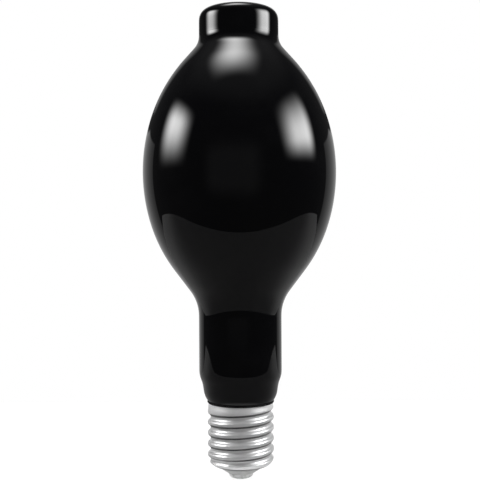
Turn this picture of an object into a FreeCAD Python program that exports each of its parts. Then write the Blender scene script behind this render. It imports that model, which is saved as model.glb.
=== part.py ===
import FreeCAD, Part
import math
import os
import Sketcher

# Black glass UV lamp with a large round screw cap, standing on its end contact.
# Millimetres. The origin is the centre of the end contact's foot, +Z runs up the axis to the nub.

# Driving dimensions: alias, value. The ratios are to the radius of the bulb at its widest.
DRIVING = [
    # Blown glass envelope
    ("bulb_diameter", "115.0"),
    ("side_radius_ratio", "1.826"),
    ("side_height_ratio", "0.544"),
    ("lower_shoulder_ratio", "1.548"),
    ("upper_shoulder_ratio", "1.687"),
    ("lower_cone_angle", "37.0"),
    ("upper_cone_angle", "41.6"),
    ("neck_diameter", "49.3"),
    ("neck_length", "32.9"),
    ("neck_blend_radius", "24.5"),
    ("nub_diameter", "47.5"),
    ("nub_length", "9.9"),
    ("nub_blend_radius", "12.3"),
    ("nub_corner_radius", "5.8"),
    ("dome_radius", "75.0"),
    # Heel of the glass and its reduced end inside the cap
    ("heel_blend_radius", "12.0"),
    ("heel_slope_angle", "25.0"),
    ("heel_band_angle", "8.0"),
    ("heel_band_length", "3.5"),
    ("heel_edge_angle", "38.0"),
    ("plug_clearance", "11.4"),
    # Basing cement
    ("cement_thickness", "2.1"),
    ("bead_overhang", "0.7"),
    ("bead_thickness", "1.2"),
    ("bead_bevel", "0.35"),
    ("cement_depth", "15.0"),
    # Rolled screw shell
    ("crest_diameter", "39.5"),
    ("thread_depth", "1.8"),
    ("thread_pitch", "6.35"),
    ("thread_turns", "5"),
    ("runout_turns", "0.9"),
    ("rim_height", "44.7"),
    ("rim_step", "0.55"),
    ("collar_height", "4.1"),
    ("shell_wall", "0.65"),
    ("shoulder_radius", "5.75"),
    ("lip_width", "3.9"),
    ("lip_thickness", "1.35"),
    # Insulator and end contact
    ("shell_foot", "7.25"),
    ("insulator_foot", "3.1"),
    ("insulator_foot_diameter", "16.4"),
    ("insulator_overlap", "1.0"),
    ("flange_thickness", "1.9"),
    ("contact_diameter", "14.3"),
    ("contact_edge_height", "2.0"),
    ("stem_diameter", "3.2"),
    ("stem_length", "5.9"),
]

# Dimensions worked out from the driving ones: alias, formula
DERIVED = [
    ("bulb_radius", "=bulb_diameter / 2"),
    ("side_radius", "=bulb_radius * side_radius_ratio"),
    ("side_half_height", "=bulb_radius * side_height_ratio"),
    ("lower_shoulder_radius", "=bulb_radius * lower_shoulder_ratio"),
    ("upper_shoulder_radius", "=bulb_radius * upper_shoulder_ratio"),
    ("neck_radius", "=neck_diameter / 2"),
    ("nub_radius", "=nub_diameter / 2"),
    ("heel_height", "=rim_height + bead_thickness"),
    ("heel_slope_drop", "=heel_blend_radius * sin(heel_slope_angle * 1 deg)"),
    ("heel_edge_drop",
     "=heel_blend_radius * (sin(heel_edge_angle * 1 deg) - sin(heel_band_angle * 1 deg))"),
    ("crest_radius", "=crest_diameter / 2"),
    ("root_radius", "=crest_radius - thread_depth"),
    ("bore_radius", "=root_radius - shell_wall"),
    ("rim_radius", "=crest_radius - rim_step"),
    ("plug_radius", "=bore_radius - cement_thickness"),
    ("bead_radius", "=rim_radius + bead_overhang"),
    ("bead_flat_radius", "=bead_radius - bead_bevel"),
    ("bead_lower_edge", "=rim_height + bead_bevel"),
    ("bead_upper_edge", "=heel_height - bead_bevel"),
    ("cement_foot", "=rim_height - cement_depth"),
    ("collar_foot", "=rim_height - collar_height"),
    ("shoulder_top", "=shell_foot + shoulder_radius"),
    ("shoulder_foot_radius", "=crest_radius - shoulder_radius"),
    ("lip_radius", "=bore_radius - lip_width"),
    ("lip_top", "=shell_foot + lip_thickness"),
    ("flange_top", "=lip_top + flange_thickness"),
    ("plug_foot", "=flange_top + plug_clearance"),
    ("insulator_foot_radius", "=insulator_foot_diameter / 2"),
    ("insulator_edge_radius", "=lip_radius + insulator_overlap"),
    ("contact_radius", "=contact_diameter / 2"),
    ("contact_flat_radius", "=contact_radius - contact_edge_height"),
    ("contact_bevel_radius", "=contact_radius - contact_edge_height * 0.3"),
    ("contact_bevel_height", "=contact_edge_height * 0.3"),
    ("stem_radius", "=stem_diameter / 2"),
    ("stem_top", "=insulator_foot + stem_length"),
    # Groove of the thread, in one pitch: crest land, crest chamfers, flanks and root land
    ("groove_half_width", "=thread_pitch * 0.445"),
    ("chamfer_half_width", "=thread_pitch * 0.305"),
    ("root_half_width", "=thread_pitch * 0.115"),
    ("chamfer_radius", "=crest_radius - thread_depth * 0.28"),
    ("groove_mouth_radius", "=crest_radius + thread_depth / 3"),
    ("groove_start", "=shell_foot + thread_pitch * 0.068"),
    ("groove_end", "=groove_start + thread_pitch * thread_turns"),
    ("runout_growth", "=thread_depth * 1.06 / runout_turns"),
]

# Stands for the axis as a radius and for the foot of the contact as a height
ZERO = "zero"

doc = FreeCAD.newDocument("BlackLightBulb")
sheet = doc.addObject("Spreadsheet::Sheet", "Sizes")


def fill_sheet():
    for row, (alias, content) in enumerate(DRIVING + DERIVED, start=1):
        sheet.set("A%d" % row, alias)
        sheet.set("B%d" % row, content)
        sheet.setAlias("B%d" % row, alias)
    doc.recompute()


def size(alias):
    return 0.0 if alias == ZERO else float(sheet.get(alias))


def new_body(label):
    body = doc.addObject("PartDesign::Body", label)
    body.Label = label
    return body


def vector(r, z):
    return FreeCAD.Vector(r, z, 0)


class HalfSection:
    """Closed half section in a body's XZ plane, drawn edge by edge and bound to the sheet."""

    START, END, CENTRE = range(1, 4)
    GROUND, AXIS = range(-1, -3, -1)

    def __init__(self, body, name):
        plane = [item for item in body.Origin.OriginFeatures if item.Role == "XZ_Plane"][0]
        self.sketch = body.newObject("Sketcher::SketchObject", name)
        self.sketch.AttachmentSupport = (plane, "")
        self.sketch.MapMode = "FlatFace"
        self.edges = []

    def line(self, start, end):
        index = self.sketch.addGeometry(Part.LineSegment(vector(*start), vector(*end)), False)
        self.edges.append((index, self.START, self.END))
        return len(self.edges) - 1

    def arc(self, centre, radius, first, last):
        # Angles in degrees, in the order of drawing; a clockwise arc is stored the other way round.
        low, high = sorted((math.radians(first), math.radians(last)))
        circle = Part.Circle(vector(*centre), FreeCAD.Vector(0, 0, 1), radius)
        index = self.sketch.addGeometry(Part.ArcOfCircle(circle, low, high), False)
        ends = (self.START, self.END) if last > first else (self.END, self.START)
        self.edges.append((index,) + ends)
        return len(self.edges) - 1

    def add(self, kind, *arguments):
        return self.sketch.addConstraint(Sketcher.Constraint(kind, *arguments))

    def bind(self, constraint, expression):
        name = "dim%d" % constraint
        self.sketch.renameConstraint(constraint, name)
        self.sketch.setExpression("Constraints." + name, expression)

    def join(self, smooth=()):
        """Join each edge to the next, tangent at the edges named as smooth."""
        for number, (index, _, last) in enumerate(self.edges):
            following, first, _ = self.edges[(number + 1) % len(self.edges)]
            kind = "Tangent" if number in smooth else "Coincident"
            self.add(kind, index, last, following, first)

    def place(self, edge, r=None, z=None):
        """Fix the point where an edge starts by the cells that hold its radius and height."""
        index, first, _ = self.edges[edge]
        for kind, alias, line in (("DistanceX", r, self.AXIS), ("DistanceY", z, self.GROUND)):
            if alias == ZERO:
                self.add("PointOnObject", index, first, line)
            elif alias:
                self.bind(self.add(kind, -1, 1, index, first, size(alias)), "Sizes." + alias)

    def rise(self, edge, alias):
        """Fix the height of an edge from its lower end to its upper end."""
        index, first, last = self.edges[edge]
        self.bind(self.add("DistanceY", index, first, index, last, size(alias)), "Sizes." + alias)

    def radius(self, edge, alias):
        index = self.edges[edge][0]
        self.bind(self.add("Radius", index, size(alias)), "Sizes." + alias)

    def lean(self, edge, degrees, expression):
        """Fix the direction of a straight edge, in degrees from the outward radius."""
        index = self.edges[edge][0]
        self.bind(self.add("Angle", index, math.radians(degrees)), expression)

    def length(self, edge, alias):
        index = self.edges[edge][0]
        self.bind(self.add("Distance", index, size(alias)), "Sizes." + alias)

    def upright(self, edge):
        self.add("Vertical", self.edges[edge][0])

    def level(self, edge):
        self.add("Horizontal", self.edges[edge][0])

    def polygon(self, corners):
        """Straight edges through corners that are each a pair of cells, radius and height."""
        points = [(size(r), size(z)) for r, z in corners]
        for start, end in zip(points, points[1:] + points[:1]):
            self.line(start, end)
        self.join()
        for edge, (r, z) in enumerate(corners):
            self.place(edge, r, z)


def revolve(body, section):
    feature = body.newObject("PartDesign::Revolution", body.Label + "_turned")
    feature.Profile = section.sketch
    feature.ReferenceAxis = (section.sketch, ["V_Axis"])
    feature.Angle = 360
    doc.recompute()
    return feature


def make_glass_bulb():
    body = new_body("glass_bulb")
    section = HalfSection(body, "glass_section")

    # Heel, from the flat that sits on the cement bead up to the neck
    blend = size("heel_blend_radius")
    band, slope, edge = (size(a) for a in ("heel_band_angle", "heel_slope_angle", "heel_edge_angle"))
    neck = size("neck_radius")
    neck_foot = (size("heel_height") + size("heel_edge_drop")
                 + size("heel_band_length") * math.cos(math.radians(band))
                 + 2 * size("heel_slope_drop") - blend * math.sin(math.radians(band)))
    upper = (neck - blend, neck_foot)
    waist = (upper[0] + 2 * blend * math.cos(math.radians(slope)),
             upper[1] - 2 * blend * math.sin(math.radians(slope)))
    band_top = polar(waist, blend, 180 - band)
    band_foot = polar(band_top, size("heel_band_length"), 270 - band)
    lower = polar(band_foot, blend, 180 - band)
    heel_edge = polar(lower, blend, -edge)

    # Neck blend, lower cone, belly arcs, upper cone and nub blend
    low_angle, high_angle = size("lower_cone_angle"), size("upper_cone_angle")
    side = size("side_radius")
    side_angle = math.degrees(math.asin(size("side_half_height") / side))
    low_shoulder, high_shoulder = size("lower_shoulder_radius"), size("upper_shoulder_radius")
    side_axis = size("bulb_radius") - side
    low_axis = side_axis + (side - low_shoulder) * math.cos(math.radians(side_angle))
    neck_blend = size("neck_blend_radius")
    neck_top = neck_foot + size("neck_length")
    neck_centre = (neck + neck_blend, neck_top)
    cone_foot = polar(neck_centre, neck_blend, 180 - low_angle)
    cone_radius = low_axis + low_shoulder * math.cos(math.radians(low_angle))
    cone_top = (cone_radius, cone_foot[1] + (cone_radius - cone_foot[0])
                / math.tan(math.radians(low_angle)))
    low_centre = polar(cone_top, low_shoulder, 180 - low_angle)
    side_centre = polar(low_centre, side - low_shoulder, 180 - side_angle)
    high_centre = polar(side_centre, side - high_shoulder, side_angle)
    nub_blend = size("nub_blend_radius")
    nub = size("nub_radius")
    high_cone_foot = polar(high_centre, high_shoulder, high_angle)
    high_cone_top_radius = nub + nub_blend * (1 - math.cos(math.radians(high_angle)))
    high_cone_top = (high_cone_top_radius, high_cone_foot[1]
                     + (high_cone_foot[0] - high_cone_top_radius) / math.tan(math.radians(high_angle)))
    nub_centre = polar(high_cone_top, nub_blend, high_angle)

    # Nub with its rounded corner and low dome
    corner, dome = size("nub_corner_radius"), size("dome_radius")
    corner_centre = (nub - corner, nub_centre[1] + size("nub_length"))
    dome_angle = math.degrees(math.acos(corner_centre[0] / (dome - corner)))
    dome_centre = (0, corner_centre[1] - (dome - corner) * math.sin(math.radians(dome_angle)))
    top = (0, dome_centre[1] + dome)

    # Reduced end inside the cap
    plug, plug_foot = size("plug_radius"), size("plug_foot")

    foot = section.line((0, plug_foot), (plug, plug_foot))
    plug_side = section.line((plug, plug_foot), (plug, size("heel_height")))
    seat = section.line((plug, size("heel_height")), heel_edge)
    heel_round = section.arc(lower, blend, -edge, -band)
    heel_band = section.line(band_foot, band_top)
    heel_waist = section.arc(waist, blend, 180 - band, 180 - slope)
    heel_shoulder = section.arc(upper, blend, -slope, 0)
    neck_side = section.line((neck, neck_foot), (neck, neck_top))
    neck_arc = section.arc(neck_centre, neck_blend, 180, 180 - low_angle)
    low_cone = section.line(cone_foot, cone_top)
    low_arc = section.arc(low_centre, low_shoulder, -low_angle, -side_angle)
    side_arc = section.arc(side_centre, side, -side_angle, side_angle)
    high_arc = section.arc(high_centre, high_shoulder, side_angle, high_angle)
    high_cone = section.line(high_cone_foot, high_cone_top)
    nub_arc = section.arc(nub_centre, nub_blend, 180 + high_angle, 180)
    nub_side = section.line((nub, nub_centre[1]), (nub, corner_centre[1]))
    corner_arc = section.arc(corner_centre, corner, 0, dome_angle)
    dome_arc = section.arc(dome_centre, dome, dome_angle, 90)
    axis = section.line(top, (0, plug_foot))

    section.join(smooth=range(heel_round, dome_arc))
    section.place(foot, ZERO, "plug_foot")
    section.place(plug_side, "plug_radius", "plug_foot")
    section.place(seat, "plug_radius", "heel_height")
    section.level(seat)
    for edge_number in (heel_round, heel_waist, heel_shoulder):
        section.radius(edge_number, "heel_blend_radius")
    section.rise(heel_round, "heel_edge_drop")
    section.length(heel_band, "heel_band_length")
    section.lean(heel_band, 90 - band, "(90 - Sizes.heel_band_angle) * 1 deg")
    section.rise(heel_shoulder, "heel_slope_drop")
    section.upright(neck_side)
    section.place(neck_side, r="neck_radius")
    section.length(neck_side, "neck_length")
    section.radius(neck_arc, "neck_blend_radius")
    section.lean(low_cone, 90 - low_angle, "(90 - Sizes.lower_cone_angle) * 1 deg")
    section.radius(low_arc, "lower_shoulder_radius")
    section.radius(side_arc, "side_radius")
    section.radius(high_arc, "upper_shoulder_radius")
    section.lean(high_cone, 90 + high_angle, "(90 + Sizes.upper_cone_angle) * 1 deg")
    section.radius(nub_arc, "nub_blend_radius")
    section.upright(nub_side)
    section.place(nub_side, r="nub_radius")
    section.length(nub_side, "nub_length")
    section.radius(corner_arc, "nub_corner_radius")
    section.radius(dome_arc, "dome_radius")
    section.place(axis, r=ZERO)
    section.add("PointOnObject", section.edges[dome_arc][0], section.CENTRE, section.AXIS)

    # The belly's side arc is level with its own centre and as tall below it as above it
    side_index = section.edges[side_arc][0]
    for end, sign in ((section.START, -1), (section.END, 1)):
        points = (side_index, end, side_index, section.CENTRE)
        first, second = (points[:2], points[2:]) if sign < 0 else (points[2:], points[:2])
        height = section.add("DistanceY", *first, *second, size("side_half_height"))
        section.bind(height, "Sizes.side_half_height")
    reach = section.add("DistanceX", side_index, section.CENTRE, -1, 1, -side_axis)
    section.bind(reach, "Sizes.side_radius - Sizes.bulb_radius")
    revolve(body, section)
    return body


def polar(centre, radius, degrees):
    """Point at a distance and angle from another, the angle from the outward radius."""
    angle = math.radians(degrees)
    return (centre[0] + radius * math.cos(angle), centre[1] + radius * math.sin(angle))


def make_cement_ring():
    body = new_body("cement_ring")
    section = HalfSection(body, "cement_section")
    section.polygon([("plug_radius", "cement_foot"), ("bore_radius", "cement_foot"),
                     ("bore_radius", "rim_height"), ("bead_flat_radius", "rim_height"),
                     ("bead_radius", "bead_lower_edge"), ("bead_radius", "bead_upper_edge"),
                     ("bead_flat_radius", "heel_height"), ("plug_radius", "heel_height")])
    revolve(body, section)
    return body


def make_screw_shell():
    body = new_body("screw_shell")
    section = HalfSection(body, "shell_section")
    corners = [("lip_radius", "shell_foot"), ("shoulder_foot_radius", "shell_foot"),
               ("crest_radius", "shoulder_top"), ("crest_radius", "collar_foot"),
               ("rim_radius", "rim_height"), ("bore_radius", "rim_height"),
               ("bore_radius", "lip_top"), ("lip_radius", "lip_top")]
    points = [(size(r), size(z)) for r, z in corners]
    shoulder = 1
    for edge, (start, end) in enumerate(zip(points, points[1:] + points[:1])):
        if edge == shoulder:
            section.arc((start[0], end[1]), size("shoulder_radius"), -90, 0)
        else:
            section.line(start, end)
    section.join()
    for edge, cells in enumerate(corners):
        section.place(edge, *cells)
    section.radius(shoulder, "shoulder_radius")
    revolve(body, section)

    # Right-hand round thread: full grooves first, then one that climbs out of the metal near the rim
    add_groove(body, "thread", "groove_start")
    full = body.newObject("PartDesign::SubtractiveHelix", "thread_turns")
    set_helix(full, doc.getObject("thread_profile"), "pitch-turns-angle")
    full.setExpression("Pitch", "Sizes.thread_pitch")
    full.setExpression("Turns", "Sizes.thread_turns")
    doc.recompute()
    add_groove(body, "runout", "groove_end")
    runout = body.newObject("PartDesign::SubtractiveHelix", "thread_runout")
    set_helix(runout, doc.getObject("runout_profile"), "height-turns-growth")
    runout.setExpression("Height", "Sizes.thread_pitch * Sizes.runout_turns")
    runout.setExpression("Turns", "Sizes.runout_turns")
    runout.setExpression("Growth", "Sizes.runout_growth")
    doc.recompute()
    return body


def add_groove(body, name, height):
    """Section of one groove at a height along the axis, open past the crest."""
    section = HalfSection(body, name + "_profile")
    outline = [("groove_mouth_radius", "groove_half_width", -1), ("crest_radius", "groove_half_width", -1),
               ("chamfer_radius", "chamfer_half_width", -1), ("root_radius", "root_half_width", -1),
               ("root_radius", "root_half_width", 1), ("chamfer_radius", "chamfer_half_width", 1),
               ("crest_radius", "groove_half_width", 1), ("groove_mouth_radius", "groove_half_width", 1)]
    points = [(size(r), size(height) + side * size(half)) for r, half, side in outline]
    for start, end in zip(points, points[1:] + points[:1]):
        section.line(start, end)
    section.join()
    for edge, (r, half, side) in enumerate(outline):
        section.place(edge, r=r)
        index = section.edges[edge][0]
        level = section.add("DistanceY", -1, 1, index, section.START, points[edge][1])
        section.bind(level, "Sizes.%s %s Sizes.%s" % (height, "+" if side > 0 else "-", half))
    doc.recompute()


def set_helix(feature, profile, mode):
    feature.Profile = profile
    feature.ReferenceAxis = (profile, ["V_Axis"])
    feature.Mode = mode
    feature.LeftHanded = False
    feature.HasBeenEdited = True


def make_insulator():
    body = new_body("insulator")
    section = HalfSection(body, "insulator_section")
    section.polygon([("stem_radius", "insulator_foot"), ("insulator_foot_radius", "insulator_foot"),
                     ("insulator_edge_radius", "shell_foot"), ("lip_radius", "shell_foot"),
                     ("lip_radius", "lip_top"), ("bore_radius", "lip_top"),
                     ("bore_radius", "flange_top"), ("stem_radius", "flange_top")])
    revolve(body, section)
    return body


def make_end_contact():
    body = new_body("end_contact")
    section = HalfSection(body, "contact_section")
    section.polygon([(ZERO, ZERO), ("contact_flat_radius", ZERO),
                     ("contact_bevel_radius", "contact_bevel_height"),
                     ("contact_radius", "contact_edge_height"), ("contact_radius", "insulator_foot"),
                     ("stem_radius", "insulator_foot"), ("stem_radius", "stem_top"), (ZERO, "stem_top")])
    revolve(body, section)
    return body


def check(bodies):
    for item in doc.Objects:
        if "Invalid" in item.State or "Error" in item.State:
            raise RuntimeError("%s failed: %s" % (item.Name, item.State))
    for body in bodies:
        if body.Shape.isNull() or not body.Shape.isValid() or len(body.Shape.Solids) != 1:
            raise RuntimeError("%s is not one valid solid" % body.Label)


fill_sheet()
bodies = [make_glass_bulb(), make_cement_ring(), make_screw_shell(), make_insulator(), make_end_contact()]
doc.recompute()
check(bodies)
os.makedirs("parts", exist_ok=True)
for body in bodies:
    body.Shape.exportStep("parts/%s.step" % body.Label)
    box = body.Shape.BoundBox
    print(body.Label, "z %.2f to %.2f" % (box.ZMin, box.ZMax), "volume %.0f" % body.Shape.Volume)
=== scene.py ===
import math

import bpy
import numpy as np
from mathutils import Matrix, Vector, noise


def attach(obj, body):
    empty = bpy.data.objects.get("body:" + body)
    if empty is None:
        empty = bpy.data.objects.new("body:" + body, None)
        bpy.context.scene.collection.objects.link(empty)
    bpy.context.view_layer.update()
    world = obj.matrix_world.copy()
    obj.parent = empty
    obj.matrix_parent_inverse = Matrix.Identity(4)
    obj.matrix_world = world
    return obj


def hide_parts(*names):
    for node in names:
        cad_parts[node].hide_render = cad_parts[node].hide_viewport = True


# Black glass UV lamp with a large round screw cap. Metres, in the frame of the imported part:
# the origin is the centre of the end contact's foot and +Z runs up the axis to the nub.
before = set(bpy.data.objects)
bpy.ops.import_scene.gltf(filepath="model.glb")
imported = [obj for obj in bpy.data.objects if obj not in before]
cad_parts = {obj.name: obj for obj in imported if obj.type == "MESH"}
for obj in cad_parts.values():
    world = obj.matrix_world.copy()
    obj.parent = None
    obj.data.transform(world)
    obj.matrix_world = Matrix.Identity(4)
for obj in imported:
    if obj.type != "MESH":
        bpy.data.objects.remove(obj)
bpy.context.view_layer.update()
MM = 0.001

# Camera, worked out from the outline of the lamp in the photograph
FOCAL_PIXELS = 871.0
FRAME_PIXELS = 480.0
SENSOR_WIDTH = 36.0
CAMERA_PLACE = (0.12 * MM, -521.0 * MM, 141.5 * MM)
CAMERA_ROLL = 0.32

# Blown glass, as in the part: heel, neck, belly and nub, and the end inside the cap
HEEL_HEIGHT = 45.9 * MM
HEEL_BLEND = 12.0 * MM
HEEL_EDGE_ANGLE = 38.0
HEEL_BAND_ANGLE = 8.0
HEEL_BAND_LENGTH = 3.5 * MM
HEEL_SLOPE_ANGLE = 25.0
NECK_RADIUS = 24.65 * MM
NECK_LENGTH = 32.9 * MM
NECK_BLEND = 24.5 * MM
LOWER_CONE_ANGLE = 37.0
UPPER_CONE_ANGLE = 41.6
BELLY_RADIUS = 57.5 * MM
SIDE_RADIUS = 1.826 * BELLY_RADIUS
SIDE_HALF_HEIGHT = 0.544 * BELLY_RADIUS
LOWER_SHOULDER = 1.548 * BELLY_RADIUS
UPPER_SHOULDER = 1.687 * BELLY_RADIUS
NUB_RADIUS = 23.75 * MM
NUB_LENGTH = 9.9 * MM
NUB_BLEND = 12.3 * MM
NUB_CORNER = 5.8 * MM
NUB_RING_HEIGHT = 262.9 * MM
DOME_RADIUS = 75.0 * MM
PLUG_RADIUS = 15.2 * MM
PLUG_FOOT = 21.9 * MM

# Mesh of the glass: step along its outline, width over which its runs flow into each other, and the
# distance and the bend that each add one row
OUTLINE_STEP = 0.1 * MM
OUTLINE_FLOW = 1.2 * MM
ROW_DISTANCE = 1.1 * MM
ROW_BEND = 3.0
GLASS_COLUMNS = 216

# Rolled screw shell, as in the part
CREST_RADIUS = 19.75 * MM
THREAD_DEPTH = 1.8 * MM
THREAD_PITCH = 6.35 * MM
KNUCKLE_RADIUS = 1.85 * MM
GROOVE_START = 7.68 * MM
FULL_TURNS = 5.0
RUNOUT_TURNS = 0.9
SHELL_FOOT = 7.25 * MM
SHOULDER_RADIUS = 5.75 * MM
COLLAR_FOOT = 40.6 * MM
RIM_HEIGHT = 44.7 * MM
RIM_RADIUS = 19.2 * MM
RIM_EDGE = 0.12 * MM
BORE_RADIUS = 17.3 * MM
LIP_RADIUS = 13.4 * MM
LIP_TOP = 8.6 * MM
THREAD_SOFTNESS = 0.12 * MM
SHELL_COLUMNS = 256

# End contact, as in the part, and the unevenness of its solder
CONTACT_RADIUS = 7.15 * MM
CONTACT_FOOT_RADIUS = 5.15 * MM
CONTACT_EDGE = 2.0 * MM
CONTACT_TOP = 3.1 * MM
STEM_RADIUS = 1.6 * MM
STEM_TOP = 9.0 * MM
SOLDER_SWELL = 0.26 * MM
SOLDER_LIFT = 0.2 * MM
SOLDER_LUMP = 2.3 * MM
SOLDER_DIMPLE = 1.0 * MM
CONTACT_COLUMNS = 96

# Studio
BELLY_MIDDLE = 0.195
BOX_DISTANCE = 1.0
TABLE_BACK = 0.24
TABLE_HALF_WIDTH = 0.64
TABLE_DEPTH = 0.46
TABLE_TOP = -0.3 * MM


def add_camera():
    data = bpy.data.cameras.new("camera")
    data.sensor_width = SENSOR_WIDTH
    data.lens = SENSOR_WIDTH * FOCAL_PIXELS / FRAME_PIXELS
    data.clip_start = 0.01
    data.clip_end = 50.0
    camera = bpy.data.objects.new("camera", data)
    camera.location = CAMERA_PLACE
    camera.rotation_euler = (math.radians(90.0), math.radians(CAMERA_ROLL), 0.0)
    bpy.context.scene.collection.objects.link(camera)
    bpy.context.scene.camera = camera


# Meshes

def add_piece(name, points, faces, material, sharp_angle):
    mesh = bpy.data.meshes.new(name)
    mesh.from_pydata([tuple(point) for point in points], [], faces)
    mesh.polygons.foreach_set("use_smooth", [True] * len(mesh.polygons))
    mesh.set_sharp_from_angle(angle=math.radians(sharp_angle))
    mesh.materials.append(material)
    piece = bpy.data.objects.new(name, mesh)
    bpy.context.scene.collection.objects.link(piece)
    return piece


def ring_faces(rings, columns, closed):
    """Quads between rings of points that each run once round the axis."""
    faces = []
    for ring in range(rings if closed else rings - 1):
        low, high = ring * columns, (ring + 1) % rings * columns
        for column in range(columns):
            following = (column + 1) % columns
            faces.append((low + column, low + following, high + following, high + column))
    return faces


def close_end(points, faces, ring, columns, height, below):
    """Fan of triangles from a point on the axis to a ring of points."""
    middle = len(points)
    points.append((0.0, 0.0, height))
    for column in range(columns):
        first = ring * columns + column
        second = ring * columns + (column + 1) % columns
        faces.append((middle, second, first) if below else (middle, first, second))


def run_of_glass():
    """Half section of the outside of the glass, from the heel up: each run's length and turn in degrees."""
    def bend(radius, turn):
        return abs(radius * math.radians(turn)), turn

    def cone(shoulder, blend, end_radius, angle):
        lean = math.radians(angle)
        shoulder_axis = BELLY_RADIUS - SIDE_RADIUS
        shoulder_axis += (SIDE_RADIUS - shoulder) * math.cos(math.radians(tilt))
        wide = shoulder_axis + shoulder * math.cos(lean)
        narrow = end_radius + blend * (1.0 - math.cos(lean))
        return (wide - narrow) / math.sin(lean), 0.0

    tilt = math.degrees(math.asin(SIDE_HALF_HEIGHT / SIDE_RADIUS))
    corner_turn = math.degrees(math.acos((NUB_RADIUS - NUB_CORNER) / (DOME_RADIUS - NUB_CORNER)))
    heel = [bend(HEEL_BLEND, HEEL_EDGE_ANGLE - HEEL_BAND_ANGLE), (HEEL_BAND_LENGTH, 0.0),
            bend(HEEL_BLEND, HEEL_BAND_ANGLE - HEEL_SLOPE_ANGLE), bend(HEEL_BLEND, HEEL_SLOPE_ANGLE)]
    neck = [(NECK_LENGTH, 0.0), bend(NECK_BLEND, -LOWER_CONE_ANGLE)]
    belly = [cone(LOWER_SHOULDER, NECK_BLEND, NECK_RADIUS, LOWER_CONE_ANGLE),
             bend(LOWER_SHOULDER, LOWER_CONE_ANGLE - tilt), bend(SIDE_RADIUS, 2.0 * tilt),
             bend(UPPER_SHOULDER, UPPER_CONE_ANGLE - tilt),
             cone(UPPER_SHOULDER, NUB_BLEND, NUB_RADIUS, UPPER_CONE_ANGLE)]
    nub = [bend(NUB_BLEND, -UPPER_CONE_ANGLE), (NUB_LENGTH, 0.0), bend(NUB_CORNER, corner_turn),
           bend(DOME_RADIUS, 90.0 - corner_turn)]
    return heel + neck + belly + nub


def glass_outline():
    """Radius and height along the outside of the glass, with each run flowing into the next."""
    runs = run_of_glass()
    lengths = np.array([length for length, _ in runs])
    turns = np.radians([turn for _, turn in runs])
    count = int(lengths.sum() / OUTLINE_STEP)
    step = lengths.sum() / count
    # Blown glass has no sudden change of curve, so each point is averaged with those a few millimetres
    # either side of it; the first and last runs are drawn longer to give the ends such neighbours
    spare = 50
    longer = np.zeros(len(runs))
    longer[[0, -1]] = spare * step
    growth = 1.0 + longer / lengths
    ends = np.cumsum(np.concatenate(([-spare * step], lengths + longer)))
    turned = math.pi / 2 - math.radians(HEEL_EDGE_ANGLE) - turns[0] * (growth[0] - 1.0)
    turned = turned + np.cumsum(np.concatenate(([0.0], turns * growth)))
    heading = np.interp((np.arange(-spare, count + spare) + 0.5) * step, ends, turned)
    path = np.concatenate(([0.0], np.cumsum(np.exp(1j * heading)))) * step
    weights = np.exp(-0.5 * (np.arange(-spare, spare + 1) * step / OUTLINE_FLOW) ** 2)
    path = np.convolve(path, weights / weights.sum(), mode="valid")
    # Rows lie closer together where the glass bends more
    bent = np.abs(np.diff(heading[spare:spare + count + 1]))
    density = np.arange(count) * step / ROW_DISTANCE + np.cumsum(bent) / math.radians(ROW_BEND)
    rows = np.searchsorted(density, np.linspace(density[0], density[-1], int(density[-1])))
    rows[-1] = count
    return list(zip(path.real[rows] - path.real[-1], path.imag[rows] - path.imag[0] + HEEL_HEIGHT))


def add_glass_bulb(material):
    """Blown envelope with its nub, belly, neck and heel, and the plain end inside the cap."""
    outside = glass_outline()
    plug = [(PLUG_RADIUS, PLUG_FOOT), (PLUG_RADIUS, HEEL_HEIGHT), (outside[0][0], HEEL_HEIGHT)]
    outline = plug + outside[1:-1]
    points = []
    for radius, height in outline:
        for column in range(GLASS_COLUMNS):
            angle = 2 * math.pi * column / GLASS_COLUMNS
            points.append((radius * math.cos(angle), radius * math.sin(angle), height))
    faces = ring_faces(len(outline), GLASS_COLUMNS, False)
    close_end(points, faces, 0, GLASS_COLUMNS, PLUG_FOOT, True)
    close_end(points, faces, len(outline) - 1, GLASS_COLUMNS, outside[-1][1], False)
    return add_piece("glass_envelope", points, faces, material, 45.0)


def groove_depth(turns, height):
    """Depth of the round thread below the crests, by the turn round the axis and the height."""
    along = (height - GROOVE_START) / THREAD_PITCH - turns
    nearest = np.round(along)
    offset = np.abs(along - nearest) * THREAD_PITCH
    quarter = THREAD_PITCH / 4
    root = THREAD_DEPTH - KNUCKLE_RADIUS + np.sqrt(
        KNUCKLE_RADIUS ** 2 - np.minimum(offset, quarter) ** 2)
    crest = KNUCKLE_RADIUS - np.sqrt(
        KNUCKLE_RADIUS ** 2 - np.minimum(2 * quarter - offset, quarter) ** 2)
    depth = np.where(offset < quarter, root, crest)
    climbed = (nearest + turns - FULL_TURNS) / RUNOUT_TURNS
    fade = 1.0 - np.clip(climbed, 0.0, 1.0)
    return depth * (fade * fade * (3.0 - 2.0 * fade)) ** 2


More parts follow.
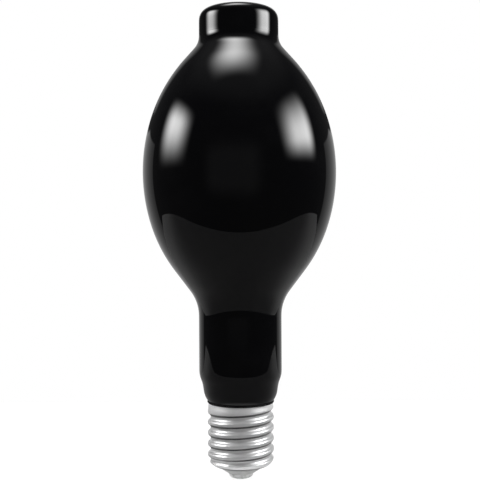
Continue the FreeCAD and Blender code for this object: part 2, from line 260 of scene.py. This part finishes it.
def shell_blank(shoulder_rows, side_rows, collar_rows):
    """Radius and height of the shell before its thread is rolled, from the foot to the rim."""
    shoulder_centre = (CREST_RADIUS - SHOULDER_RADIUS, SHELL_FOOT + SHOULDER_RADIUS)
    outline = []
    for angle in np.linspace(-math.pi / 2, 0.0, shoulder_rows, endpoint=False):
        outline.append((shoulder_centre[0] + SHOULDER_RADIUS * math.cos(angle),
                        shoulder_centre[1] + SHOULDER_RADIUS * math.sin(angle)))
    for height in np.linspace(shoulder_centre[1], COLLAR_FOOT, side_rows, endpoint=False):
        outline.append((CREST_RADIUS, height))
    for share in np.linspace(0.0, 1.0, collar_rows):
        eased = share * share * (3.0 - 2.0 * share)
        outline.append((CREST_RADIUS + (RIM_RADIUS - CREST_RADIUS) * eased,
                        COLLAR_FOOT + (RIM_HEIGHT - COLLAR_FOOT) * share))
    return outline


def add_screw_shell(material):
    """Thin shell with its round thread, which climbs out of the metal at the collar."""
    turns = np.arange(SHELL_COLUMNS) / SHELL_COLUMNS
    rings = []
    for radius, height in shell_blank(shoulder_rows=30, side_rows=216, collar_rows=32):
        threaded = CREST_RADIUS - groove_depth(turns, height)
        gap = threaded - radius
        lower = 0.5 * (threaded + radius - np.sqrt(gap * gap + THREAD_SOFTNESS ** 2) + THREAD_SOFTNESS)
        rings.append((np.minimum(lower, radius), height))
    rim_top = RIM_HEIGHT + 0.5 * RIM_EDGE
    for radius, height in ((RIM_RADIUS - RIM_EDGE, rim_top), (BORE_RADIUS + RIM_EDGE, rim_top),
                           (BORE_RADIUS, RIM_HEIGHT), (BORE_RADIUS, LIP_TOP),
                           (LIP_RADIUS, LIP_TOP), (LIP_RADIUS, SHELL_FOOT)):
        rings.append((np.full(SHELL_COLUMNS, radius), height))
    angles = turns * 2 * math.pi
    points = []
    for radii, height in rings:
        points += zip(radii * np.cos(angles), radii * np.sin(angles), np.full(SHELL_COLUMNS, height))
    faces = ring_faces(len(rings), SHELL_COLUMNS, True)
    return add_piece("shell_thread", points, faces, material, 60.0)


def contact_outline():
    """Half outline of the soldered contact, from the middle of its foot to the top of its stem."""
    outline = [(CONTACT_FOOT_RADIUS * share, 0.0) for share in np.linspace(0.06, 0.9, 14)]
    drop = CONTACT_RADIUS - CONTACT_FOOT_RADIUS
    for angle in np.linspace(-math.pi / 2, 0.0, 14):
        outline.append((CONTACT_FOOT_RADIUS + drop * math.cos(angle),
                        CONTACT_EDGE + CONTACT_EDGE * math.sin(angle)))
    for height in np.linspace(CONTACT_EDGE, CONTACT_TOP, 6)[1:]:
        outline.append((CONTACT_RADIUS, height))
    return outline + [(STEM_RADIUS, CONTACT_TOP), (STEM_RADIUS, STEM_TOP)]


def add_end_contact(material):
    """Centre contact with the uneven skin of solder that was run over its foot and edge."""
    points = []
    outline = contact_outline()
    for radius, height in outline:
        soldered = radius > STEM_RADIUS * 1.01 or height < CONTACT_TOP
        for column in range(CONTACT_COLUMNS):
            angle = 2 * math.pi * column / CONTACT_COLUMNS
            place = Vector((radius * math.cos(angle), radius * math.sin(angle), height))
            if soldered:
                swell = noise.noise(place / SOLDER_LUMP) + 0.5 * noise.noise(place / SOLDER_DIMPLE)
                low = 1.0 - min(1.0, height / CONTACT_TOP)
                grown = radius + SOLDER_SWELL * swell * min(1.0, radius / CONTACT_FOOT_RADIUS)
                lifted = height + SOLDER_LIFT * (1.0 + swell) * low * (radius / CONTACT_RADIUS)
                place = Vector((grown * math.cos(angle), grown * math.sin(angle), lifted))
            points.append(place)
    faces = ring_faces(len(outline), CONTACT_COLUMNS, False)
    close_end(points, faces, 0, CONTACT_COLUMNS, 0.0, True)
    close_end(points, faces, len(outline) - 1, CONTACT_COLUMNS, STEM_TOP, False)
    return add_piece("contact_solder", points, faces, material, 50.0)


# Node helpers

def feed(tree, socket, value):
    """Link a socket to another one, or set it to a constant."""
    if isinstance(value, bpy.types.NodeSocket):
        tree.links.new(value, socket)
    else:
        socket.default_value = value


def feed_node(tree, node, **values):
    """Feed a node's inputs by name, with _ for each space."""
    for name, value in values.items():
        feed(tree, node.inputs[name.replace("_", " ")], value)


def calculate(tree, operation, *values):
    node = tree.nodes.new("ShaderNodeMath")
    node.operation = operation
    for socket, value in zip(node.inputs, values):
        feed(tree, socket, value)
    return node.outputs[0]


def remap(tree, value, low, high, to_low=0.0, to_high=1.0, smooth=True):
    node = tree.nodes.new("ShaderNodeMapRange")
    node.interpolation_type = "SMOOTHSTEP" if smooth else "LINEAR"
    feed_node(tree, node, Value=value, From_Min=low, From_Max=high, To_Min=to_low, To_Max=to_high)
    return node.outputs["Result"]


def spots(tree, place, scale, detail=2.0, roughness=0.5):
    node = tree.nodes.new("ShaderNodeTexNoise")
    feed_node(tree, node, Vector=place, Scale=scale, Detail=detail, Roughness=roughness)
    return node.outputs["Fac"]


def stretch(tree, place, scale):
    node = tree.nodes.new("ShaderNodeMapping")
    feed_node(tree, node, Vector=place, Scale=scale)
    return node.outputs["Vector"]


def blend_colours(tree, share, first, second):
    node = tree.nodes.new("ShaderNodeMix")
    node.data_type = "RGBA"
    feed_node(tree, node, Factor=share, A=first, B=second)
    return next(socket for socket in node.outputs if socket.type == "RGBA")


def blend_shaders(tree, share, first, second):
    node = tree.nodes.new("ShaderNodeMixShader")
    for socket, value in zip(node.inputs, (share, first, second)):
        tree.links.new(value, socket)
    return node.outputs[0]


def axis_parts(tree, place):
    """Distance from the axis, depth away from the camera and height."""
    parts = tree.nodes.new("ShaderNodeSeparateXYZ")
    tree.links.new(place, parts.inputs[0])
    across = calculate(tree, "POWER", parts.outputs["X"], 2.0)
    deep = calculate(tree, "POWER", parts.outputs["Y"], 2.0)
    radius = calculate(tree, "SQRT", calculate(tree, "ADD", across, deep))
    return radius, parts.outputs["Y"], parts.outputs["Z"]


def raise_surface(tree, shader, height, distance):
    node = tree.nodes.new("ShaderNodeBump")
    feed_node(tree, node, Strength=1.0, Distance=distance, Height=height)
    tree.links.new(node.outputs["Normal"], shader.inputs["Normal"])


def new_group(name, inputs, outputs):
    group = bpy.data.node_groups.new(name, "ShaderNodeTree")
    for label, kind, value in inputs:
        socket = group.interface.new_socket(label, in_out="INPUT", socket_type=kind)
        if value is not None:
            socket.default_value = value
    for label in outputs:
        group.interface.new_socket(label, in_out="OUTPUT", socket_type="NodeSocketFloat")
    return group, group.nodes.new("NodeGroupInput"), group.nodes.new("NodeGroupOutput")


def handling_marks_group():
    """Smears and fine scratches from handling, a mask for each."""
    group, given, made = new_group(
        "handling_marks",
        [("Place", "NodeSocketVector", None), ("Smear Scale", "NodeSocketFloat", 60.0),
         ("Scratch Scale", "NodeSocketFloat", 900.0)],
        ["Smear", "Scratch"])
    place = given.outputs["Place"]
    smear = spots(group, place, given.outputs["Smear Scale"], 4.0, 0.6)
    along = stretch(group, place, (1.0, 1.0, 0.06))
    lines = spots(group, along, given.outputs["Scratch Scale"])
    feed_node(group, made, Smear=remap(group, smear, 0.42, 0.72), Scratch=remap(group, lines, 0.66, 0.74))
    return group


def fine_grain_group():
    """Fine grain of a cast, sintered or plated surface, and a broader mottle of the same kind."""
    group, given, made = new_group(
        "fine_grain",
        [("Place", "NodeSocketVector", None), ("Scale", "NodeSocketFloat", 1500.0)],
        ["Grain", "Mottle"])
    place, scale = given.outputs["Place"], given.outputs["Scale"]
    broad = calculate(group, "MULTIPLY", scale, 0.12)
    feed_node(group, made, Grain=spots(group, place, scale, 3.0, 0.6), Mottle=spots(group, place, broad))
    return group


def place_group(tree, group, place, **values):
    node = tree.nodes.new("ShaderNodeGroup")
    node.node_tree = group
    feed_node(tree, node, Place=place, **values)
    return node


def new_material(name):
    material = bpy.data.materials.new(name)
    material.use_nodes = True
    tree = material.node_tree
    shader = next(node for node in tree.nodes if node.type == "BSDF_PRINCIPLED")
    place = tree.nodes.new("ShaderNodeTexCoord").outputs["Object"]
    return material, tree, shader, place


# Finishes

def black_glass(marks):
    """Deep violet-black filter glass, blown and glossy, with faint smears and hairline scratches."""
    material, tree, shader, place = new_material("black_glass")
    worn = place_group(tree, marks, place, Smear_Scale=45.0, Scratch_Scale=420.0)
    smear = worn.outputs["Smear"]
    clean, hazy = (0.0008, 0.0008, 0.0012, 1), (0.0016, 0.0016, 0.002, 1)
    feed_node(tree, shader, IOR=1.5,
              Base_Color=blend_colours(tree, smear, clean, hazy),
              Roughness=remap(tree, smear, 0.0, 1.0, 0.02, 0.055, smooth=False))
    # Slow waves of blown glass, the scratches, and the faint ring where the nub was drawn out
    waves = spots(tree, place, 26.0, 1.0)
    _, _, height = axis_parts(tree, place)
    ring = calculate(tree, "ABSOLUTE", calculate(tree, "SUBTRACT", height, NUB_RING_HEIGHT))
    groove = remap(tree, ring, 0.0, 0.45 * MM, 0.12, 0.0)
    cut = calculate(tree, "MULTIPLY", worn.outputs["Scratch"], 0.02)
    relief = calculate(tree, "SUBTRACT", calculate(tree, "SUBTRACT", waves, groove), cut)
    raise_surface(tree, shader, relief, 0.1 * MM)
    return material


def shell_metal(marks, grain):
    """Bright plated sheet, rolled round and round: paler and smoother on the crests than in the roots, with
    a line of painted shade on the steep under side of each turn and a duller collar."""
    material, tree, shader, place = new_material("shell_metal")
    worn = place_group(tree, marks, place, Smear_Scale=160.0, Scratch_Scale=900.0)
    fine = place_group(tree, grain, stretch(tree, place, (0.12, 0.12, 1.0)), Scale=2600.0)
    radius, _, height = axis_parts(tree, place)
    crest = remap(tree, radius, CREST_RADIUS - THREAD_DEPTH, CREST_RADIUS - 0.3 * THREAD_DEPTH)
    bright = blend_colours(tree, crest, (0.93, 0.93, 0.935, 1), (0.98, 0.98, 0.985, 1))
    dulled = calculate(tree, "MULTIPLY", worn.outputs["Smear"], 0.25)
    bright = blend_colours(tree, dulled, bright, (0.75, 0.75, 0.74, 1))
    # Painted shade where the metal faces down: a dark line under each turn above the round shoulder of the
    #     foot, and on the steepest part of that shoulder, at the insulator
    lean = tree.nodes.new("ShaderNodeSeparateXYZ")
    tree.links.new(tree.nodes.new("ShaderNodeTexCoord").outputs["Normal"], lean.inputs[0])
    under = remap(tree, lean.outputs["Z"], -0.39, -0.57, 0.0, 0.97)
    under = calculate(tree, "MULTIPLY", under, remap(tree, height, 12.5 * MM, 14.0 * MM))
    under = calculate(tree, "MAXIMUM", under, remap(tree, lean.outputs["Z"], -0.7, -0.85, 0.0, 0.9))
    polish = remap(tree, crest, 0.0, 1.0, 0.45, 0.42, smooth=False)
    uneven = calculate(tree, "MULTIPLY", worn.outputs["Smear"], 0.03)
    # The base colour carries the painted shade of the down-facing flanks
    feed_node(tree, shader,
              Base_Color=blend_colours(tree, under, bright, (0.05, 0.05, 0.048, 1)),
              Metallic=remap(tree, height, 36.0 * MM, RIM_HEIGHT, 0.82, 0.58),
              Roughness=calculate(tree, "ADD", polish, uneven))
    cut = calculate(tree, "MULTIPLY", worn.outputs["Scratch"], 0.8)
    raise_surface(tree, shader, calculate(tree, "SUBTRACT", fine.outputs["Grain"], cut), 0.0015 * MM)
    return material


def pale_insulator(grain):
    """Moulded insulator, pale grey with a thin glaze over a fine mottle, and painted shade that darkens it
    towards where it meets the shell."""
    material, tree, shader, place = new_material("pale_insulator")
    fine = place_group(tree, grain, place, Scale=2200.0)
    share = remap(tree, fine.outputs["Mottle"], 0.35, 0.65)
    pale = blend_colours(tree, share, (0.58, 0.58, 0.58, 1), (0.69, 0.69, 0.685, 1))
    _, _, height = axis_parts(tree, place)
    # Painted shade: darker up towards the lip of the shell, where the shell shades it
    lip_shade = remap(tree, height, 5.4 * MM, 7.4 * MM, 0.0, 0.55)
    feed_node(tree, shader,
              Base_Color=blend_colours(tree, lip_shade, pale, (0.2, 0.2, 0.195, 1)),
              Roughness=remap(tree, fine.outputs["Grain"], 0.3, 0.7, 0.3, 0.48))
    raise_surface(tree, shader, fine.outputs["Grain"], 0.02 * MM)
    return material


def contact_metal(marks, grain):
    """Pale solder, run and dimpled, dull where it has oxidised."""
    material, tree, shader, place = new_material("contact_metal")
    worn = place_group(tree, marks, place, Smear_Scale=320.0, Scratch_Scale=1600.0)
    fine = place_group(tree, grain, place, Scale=3200.0)
    smear = worn.outputs["Smear"]
    feed_node(tree, shader, Metallic=0.75,
              Base_Color=blend_colours(tree, smear, (0.92, 0.92, 0.92, 1), (0.62, 0.62, 0.61, 1)),
              Roughness=remap(tree, smear, 0.0, 1.0, 0.3, 0.5, smooth=False))
    raise_surface(tree, shader, fine.outputs["Mottle"], 0.16 * MM)
    return material


def black_cement(grain):
    """Matt black basing cement with a sandy grain."""
    material, tree, shader, place = new_material("black_cement")
    fine = place_group(tree, grain, place, Scale=1800.0)
    share = remap(tree, fine.outputs["Mottle"], 0.3, 0.7)
    feed_node(tree, shader, Specular_IOR_Level=0.2,
              Base_Color=blend_colours(tree, share, (0.002, 0.002, 0.002, 1), (0.006, 0.006, 0.006, 1)),
              Roughness=remap(tree, fine.outputs["Grain"], 0.3, 0.7, 0.7, 0.95))
    raise_surface(tree, shader, fine.outputs["Grain"], 0.08 * MM)
    return material


# Studio

def add_stage_piece(name, corners, material_name):
    """One flat face of the studio, and the empty node tree of its material."""
    mesh = bpy.data.meshes.new(name)
    mesh.from_pydata(corners, [], [tuple(range(len(corners)))])
    material = bpy.data.materials.new(material_name)
    material.use_nodes = True
    material.node_tree.nodes.clear()
    mesh.materials.append(material)
    piece = bpy.data.objects.new(name, mesh)
    bpy.context.scene.collection.objects.link(piece)
    return piece, material.node_tree


def add_panel(name, centre, azimuth, elevation, size, strength, edges):
    """Soft light panel square to a direction from the lamp; edges are the soft shares low and high of
    its width, in the sense of growing azimuth, and low and high of its height."""
    turn, tilt = math.radians(azimuth), math.radians(elevation)
    across = Vector((math.cos(turn), math.sin(turn), 0.0))
    up = Vector((-math.sin(turn) * math.sin(tilt), math.cos(turn) * math.sin(tilt), math.cos(tilt)))
    wide, high = size[0] / 2, size[1] / 2
    corners = [(-wide, -high, 0), (wide, -high, 0), (wide, high, 0), (-wide, high, 0)]
    panel, tree = add_stage_piece(name, corners, name)
    facing = Matrix((across, up, across.cross(up))).transposed().to_4x4()
    panel.matrix_world = Matrix.Translation(centre) @ facing
    panel.visible_camera = False
    parts = tree.nodes.new("ShaderNodeSeparateXYZ")
    tree.links.new(tree.nodes.new("ShaderNodeTexCoord").outputs["Generated"], parts.inputs[0])
    glows = []
    for along, (first, last) in ((parts.outputs["X"], edges[:2]), (parts.outputs["Y"], edges[2:])):
        rising, falling = remap(tree, along, 0.0, first), remap(tree, along, 1.0, 1.0 - last)
        glows.append(calculate(tree, "MULTIPLY", rising, falling))
    share = calculate(tree, "POWER", calculate(tree, "MULTIPLY", *glows), 1.5)
    shine = tree.nodes.new("ShaderNodeEmission")
    shine.inputs["Strength"].default_value = strength
    clear = tree.nodes.new("ShaderNodeBsdfTransparent")
    lit = blend_shaders(tree, share, clear.outputs[0], shine.outputs[0])
    tree.links.new(lit, tree.nodes.new("ShaderNodeOutputMaterial").inputs["Surface"])


def add_side_box(name, azimuth, elevation, size, strength, edges):
    """Soft box that faces the middle of the belly."""
    turn, tilt = math.radians(azimuth), math.radians(elevation)
    outward = Vector((math.sin(turn) * math.cos(tilt), -math.cos(turn) * math.cos(tilt), math.sin(tilt)))
    centre = Vector((0.0, 0.0, BELLY_MIDDLE)) + BOX_DISTANCE * outward
    add_panel(name, centre, azimuth, elevation, size, strength, edges)


def add_lights():
    """Two soft boxes beside the lamp and one over it, each brightest in its middle, and the faint glow of
    the lit room round the camera."""
    add_side_box("left_box", azimuth=-84.5, elevation=20.5, size=(0.96, 0.68),
                 strength=12.5, edges=(0.42, 0.47, 0.62, 0.36))
    add_side_box("right_box", azimuth=75.5, elevation=25.5, size=(1.04, 0.75),
                 strength=12.5, edges=(0.48, 0.3, 0.37, 0.6))
    add_panel("top_box", Vector((-0.09, -0.05, 1.245)), azimuth=0.0, elevation=90.0, size=(1.1, 0.88),
              strength=9.2, edges=(0.5, 0.5, 0.55, 0.45))
    add_panel("camera_glow", Vector((-0.09, -0.56, 0.205)), azimuth=0.0, elevation=0.0, size=(0.95, 0.52),
              strength=0.1, edges=(0.3, 0.3, 0.35, 0.35))


def add_table():
    """Pale table top with a round front that the lamp stands on. In what glass, metal and matt surfaces see
    of it there is a painted pool of light under the lamp and a painted falloff towards the front. It is
    white to the camera apart from the lamp's shadow, and clear from below."""
    corners = [(TABLE_HALF_WIDTH * math.cos(turn), TABLE_BACK + TABLE_DEPTH * math.sin(turn), TABLE_TOP)
               for turn in np.linspace(-math.pi, 0.0, 97)]
    _, tree = add_stage_piece("table", corners, "pale_table")
    radius, depth, _ = axis_parts(tree, tree.nodes.new("ShaderNodeTexCoord").outputs["Object"])
    seen = tree.nodes.new("ShaderNodeLightPath").outputs["Is Camera Ray"]
    # Painted light: the colour seen by all but camera rays is palest in a pool under and round the lamp and
    # darker towards the front
    painted_pool_under_lamp = remap(tree, radius, 18.0 * MM, 28.0 * MM, 0.75, 0.0)
    painted_front_falloff = remap(tree, depth, -60.0 * MM, 120.0 * MM, 0.098, 0.22)
    painted_pool_round_lamp = remap(tree, radius, 24.0 * MM, 52.0 * MM, 0.5, painted_front_falloff)
    bounce = calculate(tree, "MAXIMUM", painted_pool_under_lamp, painted_pool_round_lamp)
    matt = tree.nodes.new("ShaderNodeBsdfDiffuse")
    tree.links.new(remap(tree, seen, 0.0, 1.0, bounce, 0.14, smooth=False), matt.inputs["Color"])
    shine = tree.nodes.new("ShaderNodeEmission")
    tree.links.new(calculate(tree, "MULTIPLY", seen, 0.92), shine.inputs["Strength"])
    both = tree.nodes.new("ShaderNodeAddShader")
    tree.links.new(matt.outputs[0], both.inputs[0])
    tree.links.new(shine.outputs[0], both.inputs[1])
    from_below = tree.nodes.new("ShaderNodeNewGeometry").outputs["Backfacing"]
    clear = tree.nodes.new("ShaderNodeBsdfTransparent")
    one_sided = blend_shaders(tree, from_below, both.outputs[0], clear.outputs[0])
    tree.links.new(one_sided, tree.nodes.new("ShaderNodeOutputMaterial").inputs["Surface"])


def add_world():
    """White all round to the camera; glass and metal see a low pale backdrop and a dim room, and matt
    surfaces are lit evenly from above."""
    world = bpy.data.worlds.new("studio")
    world.use_nodes = True
    bpy.context.scene.world = world
    tree = world.node_tree
    shine = next(node for node in tree.nodes if node.type == "BACKGROUND")
    shine.inputs["Color"].default_value = (1.0, 1.0, 1.0, 1.0)
    level, depth, rise = axis_parts(tree, tree.nodes.new("ShaderNodeTexCoord").outputs["Generated"])
    facing = calculate(tree, "DIVIDE", depth, level)
    # Low pale backdrop behind the lamp, and above it the far wall
    top_edge = remap(tree, facing, 0.85, 1.0, 0.225, 0.145, smooth=False)
    above = calculate(tree, "SUBTRACT", rise, top_edge)
    backdrop = calculate(tree, "MULTIPLY", remap(tree, facing, 0.515, 0.54),
                         remap(tree, above, 0.01, -0.01))
    paleness = remap(tree, facing, 0.53, 1.0, 0.18, 0.55, smooth=False)
    backdrop = calculate(tree, "MULTIPLY", backdrop, paleness)
    wall = calculate(tree, "MULTIPLY", remap(tree, facing, 0.8, 0.95),
                     remap(tree, above, 0.035, 0.09, 0.0, 0.35))
    # The dim room, a little brighter under the ceiling
    room = remap(tree, rise, 0.66, 0.92, 0.04, 0.12)
    studio = calculate(tree, "MAXIMUM", room, calculate(tree, "MAXIMUM", backdrop, wall))
    fill = remap(tree, rise, -0.3, 0.3, 0.1, 1.0)
    path = tree.nodes.new("ShaderNodeLightPath").outputs
    mirrored = calculate(tree, "MAXIMUM", path["Is Glossy Ray"], path["Is Transmission Ray"])
    lit = remap(tree, mirrored, 0.0, 1.0, fill, studio, smooth=False)
    strength = remap(tree, path["Is Camera Ray"], 0.0, 1.0, lit, 1.0, smooth=False)
    tree.links.new(strength, shine.inputs["Strength"])


def dress_node(name, material):
    """New finish on a solid of the part."""
    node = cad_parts[name]
    node.data.materials.clear()
    node.data.materials.append(material)


add_camera()
marks = handling_marks_group()
grain = fine_grain_group()

dress_node("cement_ring", black_cement(grain))
dress_node("insulator", pale_insulator(grain))

envelope = add_glass_bulb(black_glass(marks))
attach(envelope, "root")
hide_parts("glass_bulb")

shell = add_screw_shell(shell_metal(marks, grain))
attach(shell, "root")
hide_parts("screw_shell")

contact = add_end_contact(contact_metal(marks, grain))
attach(contact, "root")
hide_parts("end_contact")

add_lights()
add_table()
add_world()
bpy.context.scene.view_settings.view_transform = "Standard"
